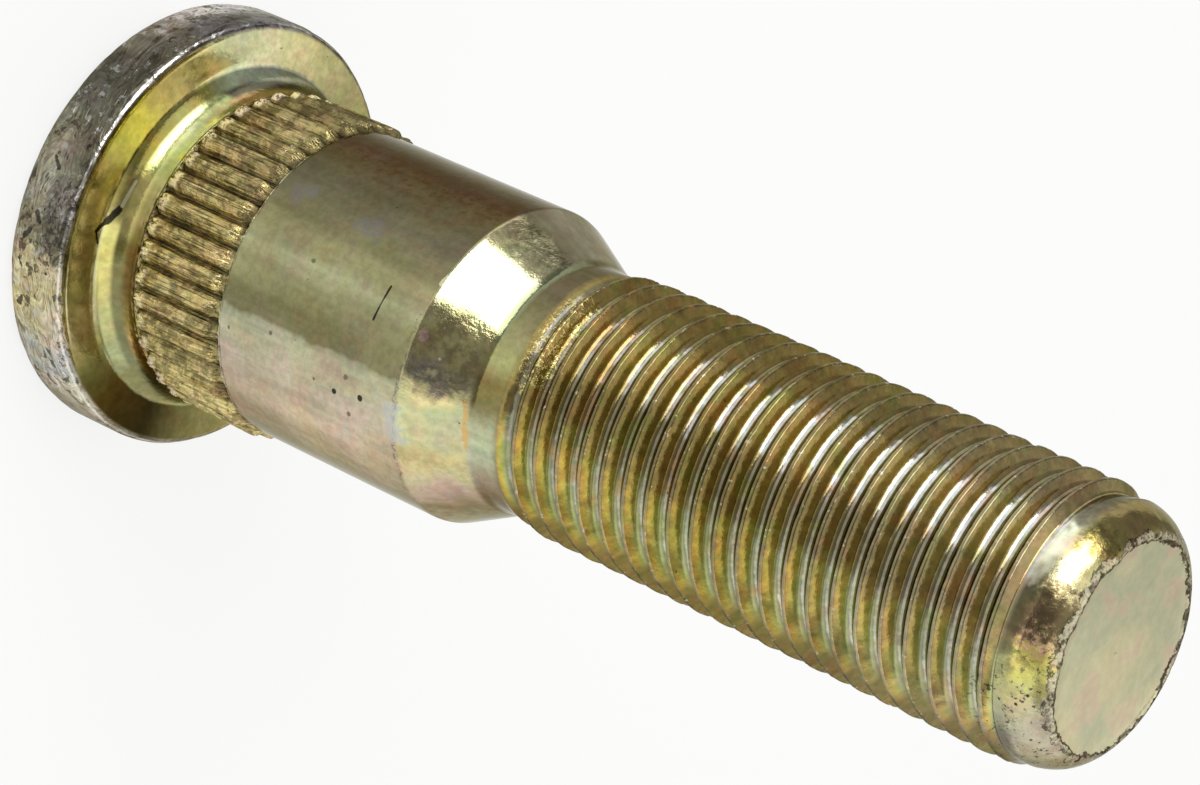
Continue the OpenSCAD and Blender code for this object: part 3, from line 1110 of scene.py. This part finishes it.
def stroke(start, end, width):
    """Distance from a thin line between two places, 1 at its edge."""
    first = on_surface(*start)
    along = on_surface(*end) - first
    offset = t.vector("SUBTRACT", mm, tuple(first)).outputs[0]
    dot = t.vector("DOT_PRODUCT", offset, tuple(along)).outputs["Value"]
    share = t.node("Math", operation="DIVIDE", use_clamp=True)
    t.feed(share.inputs[0], dot)
    share.inputs[1].default_value = along.length_squared
    reach = t.node("VectorMath", operation="SCALE")
    reach.inputs[0].default_value = along
    t.feed(reach.inputs["Scale"], share.outputs[0])
    away = t.vector("DISTANCE", offset, reach.outputs[0]).outputs["Value"]
    return t.math("MULTIPLY", away, 1 / width)


uneven = t.math("ADD", t.math("MULTIPLY_ADD", patch, 3.0, -1.5), t.math("MULTIPLY_ADD", fine, 2.4, -1.2))


def mark(places, colour, strength=0.9, ragged=1.0):
    """Paints a group of small marks in one colour."""
    nearest = places[0]
    for other in places[1:]:
        nearest = t.math("MINIMUM", nearest, other)
    mask = t.span(t.math("MULTIPLY_ADD", uneven, ragged, nearest), 1.05, 0.7)
    return t.mix(t.product(mask, strength), base, colour)


black_pits = [
    spot(32, 20.07, 7.65, 0.17),
    spot(34, 18.49, 7.65, 0.15),
    spot(36, 55.4, 5.6, 0.14),
    spot(41, 55.0, 5.8, 0.13),
    stroke((-8, 19.9, 7.65), (4.5, 19.8, 7.65), 0.07),
    stroke((14.6, 3.7, 8.94), (11.0, 3.8, 8.5), 0.12),
    stroke((11.0, 3.8, 8.5), (6.2, 4.05, 8.25), 0.2),
    stroke((14.6, 3.7, 8.94), (18.5, 3.72, 8.66), 0.07),
]
base = mark(black_pits, (0.02, 0.018, 0.015), 0.95, 0.3)
head_nicks = [
    stroke((19, 1.3, 10.75), (22, 0.9, 10.75), 0.13),
    stroke((14, 1.5, 10.75), (16, 1.8, 10.75), 0.12),
    stroke((-1, 1.4, 10.78), (1.5, 1.9, 10.78), 0.12),
    stroke((37, 1.1, 10.75), (39, 0.9, 10.75), 0.14),
    stroke((27, 0.9, 10.75), (28.5, 1.1, 10.75), 0.1),
]
base = mark(head_nicks, (0.03, 0.026, 0.02), 0.85, 1.1)
brown_pits = [
    spot(27, 19.1, 7.65, 0.14),
    spot(29, 11.7, 7.65, 0.12),
    spot(-5, 15.33, 7.65, 0.16),
    spot(33, 17.2, 7.65, 0.12),
    spot(40, 19.4, 7.65, 0.13),
    spot(24, 14.3, 7.65, 0.12),
]
base = mark(brown_pits, (0.13, 0.11, 0.07), 0.8, 0.5)
# Reddish-brown streaks along the top of the shank, at -70 to -46 degrees
shank_top_streaks = t.product(
    t.window(z, 11.0, 22.0, 0.2),
    t.window(phi_soft, -70.0, -46.0, 9.0),
    t.span(scuffs, 0.46, 0.60),
)
base = t.mix(t.product(shank_top_streaks, 0.65), base, (0.075, 0.032, 0.014))
shoulder_line = t.product(
    t.window(t.math("MULTIPLY_ADD", scuffs, 0.9, z), 22.50, 22.62, 0.05),
    t.window(phi_soft, -4.0, 66.0, 5.0),
    t.span(mottle, 0.44, 0.54),
)
base = t.mix(t.product(shoulder_line, 0.65), base, (0.12, 0.11, 0.09))
slate_patches = [
    spot(-26, 12.5, 7.65, 0.5),
    spot(-22, 17.0, 7.65, 0.7),
    spot(13, 23.0, 7.2, 0.4),
    stroke((11, 23.1, 7.15), (16, 23.9, 6.8), 0.32),
]
base = mark(slate_patches, (0.20, 0.20, 0.22), 0.32, 1.5)
base = mark([stroke((31, 22.0, 7.6), (41, 22.1, 7.55), 0.4)], (0.52, 0.54, 0.52), 0.6, 1.3)
pale_dots = [
    spot(8, 23.5, 6.95, 0.09),
    spot(-3, 23.2, 7.1, 0.07),
]
base = mark(pale_dots, (0.95, 0.93, 0.85), 0.9, 0.3)
base = mark([spot(3, 22.6, 7.4, 0.3)], (0.72, 0.48, 0.42))
# A pale line by the crack under the head, and a painted highlight along the shoulder at -42 to -16
# degrees
pale_line_and_shoulder_highlight = [
    stroke((5.0, 4.1, 8.2), (-4.5, 4.2, 8.15), 0.09),
    stroke((-42, 22.3, 7.55), (-16, 22.2, 7.6), 0.12),
]
base = mark(pale_line_and_shoulder_highlight, (0.80, 0.76, 0.50), 0.7, 0.5)
base = mark([stroke((18, 25.0, 6.35), (44, 25.2, 6.3), 0.16)], (0.66, 0.42, 0.14), 0.75)

# Cone: mottled at both ends of its bright part
on_cone = t.window(z, 22.3, 25.2, 0.15)
ragged = t.math("ADD", t.window(phi_soft, -53.0, -43.0, 5.0), t.window(phi_soft, -14.0, 17.0, 6.0))
base = t.mix(t.product(on_cone, ragged, t.span(scuffs, 0.38, 0.64), 0.5), base, (0.11, 0.095, 0.055))
base = t.mix(t.product(on_cone, ragged, t.span(mottle, 0.42, 0.30), 0.3), base, (0.66, 0.62, 0.40))
# A painted reflection band along the blend between cone and neck, at -66 to -8 degrees
neck_highlight_band = t.product(
    t.window(t.math("MULTIPLY_ADD", fine, 0.3, z), 25.28, 25.62, 0.08),
    t.window(phi_soft, -66.0, -8.0, 8.0),
)
base = t.mix(t.product(neck_highlight_band, 0.7), base, (0.27, 0.31, 0.18))

# Knurl: bright gold chips where the teeth begin and end, partly painted glints
tooth_start_glints = t.product(
    t.window(z, 5.58, 6.2, 0.12),
    t.span(mottle, 0.42, 0.48),
    t.span(radius, 7.72, 7.84),
)
tooth_stop_glints = t.product(
    t.window(z, 10.0, 10.9, 0.2),
    t.span(mottle, 0.58, 0.62),
    t.span(radius, 7.74, 7.84),
    t.span(patch, 0.46, 0.54),
)
chips = t.math("MAXIMUM", tooth_start_glints, tooth_stop_glints)
chip_glint_gold = t.mix(t.span(film, 0.46, 0.54), (0.95, 0.78, 0.58), (0.97, 0.86, 0.46))
base = t.mix(t.product(chips, 0.9), base, chip_glint_gold)

# Thread: crests worn in spots, and a painted gold sparkle on the rough start at -42 to 4 degrees
crest_wear = t.product(t.math("GREATER_THAN", radius, 6.2), t.window(z, 27.5, 53.8, 0.2))
base = t.mix(t.product(crest_wear, t.span(mottle, 0.60, 0.68), 0.7), base, (0.66, 0.60, 0.45))
start = t.product(t.window(z, 26.9, 28.6, 0.25), t.window(phi_soft, -42.0, 4.0, 6.0))
start_sparkle = t.product(start, t.span(mottle, 0.50, 0.56), t.span(grain, 0.44, 0.54), 0.9)
base = t.mix(start_sparkle, base, (0.90, 0.76, 0.30))

shader = t.node("BsdfPrincipled")
out = t.node("OutputMaterial")
t.feed(out.inputs["Surface"], shader.outputs[0])
t.feed(shader.inputs["Base Color"], base)
# The plating stays brown where it is seen edge on
shader.inputs["Specular Tint"].default_value = (0.60, 0.58, 0.50, 1.0)

# The film is thick enough to hide the metal on parts of the ring, the fillet and the land
on_ring = t.product(t.window(radius, 8.7, 10.3, 0.1), t.window(z, 3.0, 4.1, 0.1))
thick = t.product(on_ring, t.window(phi_soft, -40.0, -6.0, 6.0))
on_crescent = t.product(t.window(z, 3.82, 4.3, 0.08), t.window(radius, 7.7, 8.6, 0.04), crescent_arc)
thick = t.math("MAXIMUM", t.product(thick, 0.75), t.product(on_crescent, 0.85))
on_land = t.product(t.window(z, 53.8, 54.9, 0.15), t.window(phi_soft, -38.0, -19.0, 4.0))
thick = t.math("MAXIMUM", thick, t.product(on_land, 0.6))
t.feed(shader.inputs["Metallic"], t.math("SUBTRACT", t.math("MULTIPLY_ADD", chips, -0.6, 1.0), thick))

# Roughness along the stud, as (z in mm, roughness) stops
ROUGHNESS = [
    (0.0, 0.30), (3.4, 0.30), (3.75, 0.18), (5.4, 0.14), (5.6, 0.24), (11.0, 0.22), (11.2, 0.15),
    (22.0, 0.14), (25.0, 0.12), (27.0, 0.15), (53.5, 0.14), (54.2, 0.2), (55.9, 0.2), (56.0, 0.22),
]
roughness = t.grey(z, ROUGHNESS, 0.0, 56.2)
roughness = t.sway(t.sway(roughness, fine, 0.12), grain, 0.08)
roughness = t.math("MULTIPLY", roughness, t.math("MULTIPLY_ADD", edge_highlight, -0.5, 1.0))
roughness = t.math("MULTIPLY_ADD", chips, 0.08, roughness)
t.feed(shader.inputs["Roughness"], roughness)

# Relief in millimetres
relief = t.math("MULTIPLY", grain, 0.003)
relief = t.math("MULTIPLY_ADD", fine, 0.008, relief)
relief = t.math("MULTIPLY_ADD", t.product(fine, on_head), 0.025, relief)
relief = t.math("MULTIPLY_ADD", t.product(rub, on_head), 0.25, relief)
on_knurl = t.window(z, 5.5, 11.05, 0.05)
relief = t.math("MULTIPLY_ADD", t.product(lines, on_knurl), 0.07, relief)
relief = t.math("MULTIPLY_ADD", t.product(mottle, t.window(z, 5.5, 6.2, 0.15)), 0.06, relief)
relief = t.math("MULTIPLY_ADD", t.product(mottle, on_knurl), 0.04, relief)
relief = t.math("MULTIPLY_ADD", t.product(mottle, on_cone, ragged), 0.015, relief)
relief = t.math("MULTIPLY_ADD", t.product(mottle, start), 0.035, relief)
relief = t.math("MULTIPLY_ADD", t.product(mottle, t.window(z, 54.0, 56.1, 0.1)), 0.012, relief)
bump = t.node("Bump")
bump.inputs["Strength"].default_value = 1.0
bump.inputs["Distance"].default_value = 0.001
t.feed(bump.inputs["Height"], relief)
t.feed(shader.inputs["Normal"], bump.outputs[0])
mesh.materials.append(metal)

# Floor
FLOOR_HALF = 1.5
floor_mesh = bpy.data.meshes.new("floor")
floor_mesh.from_pydata(
    [
        (-FLOOR_HALF, -FLOOR_HALF, 0),
        (FLOOR_HALF, -FLOOR_HALF, 0),
        (FLOOR_HALF, FLOOR_HALF, 0),
        (-FLOOR_HALF, FLOOR_HALF, 0),
    ],
    [],
    [(0, 1, 2, 3)],
)
floor = bpy.data.objects.new("floor", floor_mesh)
bpy.context.scene.collection.objects.link(floor)
floor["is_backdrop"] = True
paint = bpy.data.materials.new("floor_paint")
f = Tree(paint)
matt = f.node("BsdfDiffuse")
matt.inputs["Color"].default_value = (0.94, 0.94, 0.93, 1.0)
white = f.node("Emission")
white.inputs["Strength"].default_value = 1.0
rays = f.node("LightPath")
seen = f.math("MAXIMUM", rays.outputs["Is Camera Ray"], rays.outputs["Is Glossy Ray"])
seen = f.math("MAXIMUM", seen, rays.outputs["Is Transmission Ray"])
blended = f.node("MixShader")
WHITE_SHARE = 0.8
f.feed(blended.inputs[0], f.math("MULTIPLY", seen, WHITE_SHARE))
f.feed(blended.inputs[1], matt.outputs[0])
f.feed(blended.inputs[2], white.outputs[0])
end = f.node("OutputMaterial")
f.feed(end.inputs["Surface"], blended.outputs[0])
floor_mesh.materials.append(paint)


def soft_box(name, direction, distance, width, height, radiance):
    """Area lamp that faces the stud, of even brightness radiance."""
    data = bpy.data.lights.new(name, "AREA")
    data.shape = "RECTANGLE"
    data.size = width
    data.size_y = height
    data.energy = radiance * math.pi * width * height
    lamp = bpy.data.objects.new(name, data)
    centre = Vector((0, 0, TIP_Z * MM / 2))
    towards = Vector(direction).normalized()
    lamp.location = centre + towards * distance
    lamp.rotation_mode = "QUATERNION"
    lamp.rotation_quaternion = towards.to_track_quat("Z", "Y")
    lamp.visible_camera = False
    bpy.context.scene.collection.objects.link(lamp)
    return lamp


soft_box("key", direction=(0.625, -0.652, 0.43), distance=0.7, width=0.66, height=0.523, radiance=3.0)

# World: a soft studio, dim in front, pale to one side, behind and above
world = bpy.data.worlds.new("studio")
bpy.context.scene.world = world
w = Tree(world)
direction = w.node("TexCoord").outputs["Generated"]
heading = w.node("SeparateXYZ")
w.feed(heading.inputs[0], direction)
height = heading.outputs[2]
side = w.vector("DOT_PRODUCT", direction, (-0.087, 0.996, 0.0)).outputs["Value"]
behind = w.vector("DOT_PRODUCT", direction, (-0.826, 0.0, 0.563)).outputs["Value"]
DIM = 0.33
BRIGHTEST = 1.05
beside = w.product(w.span(side, 0.42, 0.68), w.span(height, 0.5, 0.72, 1.0, 0.0), 0.7)
strength = w.math("ADD", DIM, beside)
strength = w.math("ADD", strength, w.span(behind, 0.7, 0.9, 0.0, 0.5))
strength = w.math("ADD", strength, w.span(height, 0.7, 0.88, 0.0, 0.6))
strength = w.math("MINIMUM", strength, BRIGHTEST)
sky = w.node("Background")
sky.inputs["Color"].default_value = (1.0, 0.99, 0.97, 1.0)
w.feed(sky.inputs["Strength"], strength)
world_out = w.node("OutputWorld")
w.feed(world_out.inputs["Surface"], sky.outputs[0])

# Camera at the photograph's viewing angle: place and aim in metres, roll in degrees
CAMERA_PLACE = Vector((0.150876, 0.0, 0.1301))
CAMERA_AIM = Vector((0.0, -0.000654, 0.027322))
CAMERA_ROLL = 114.478
camera_data = bpy.data.cameras.new("camera")
camera_data.sensor_fit = "HORIZONTAL"
camera_data.sensor_width = 36.0
camera_data.lens = 121.92
camera_data.clip_start = 0.01
camera_data.clip_end = 10.0
camera = bpy.data.objects.new("camera", camera_data)
facing = (CAMERA_PLACE - CAMERA_AIM).to_track_quat("Z", "Y").to_matrix().to_4x4()
roll = Matrix.Rotation(math.radians(CAMERA_ROLL), 4, "Z")
camera.matrix_world = Matrix.Translation(CAMERA_PLACE) @ facing @ roll
bpy.context.scene.collection.objects.link(camera)
bpy.context.scene.camera = camera

settings = bpy.context.scene.view_settings
settings.view_transform = "Standard"

low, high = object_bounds()
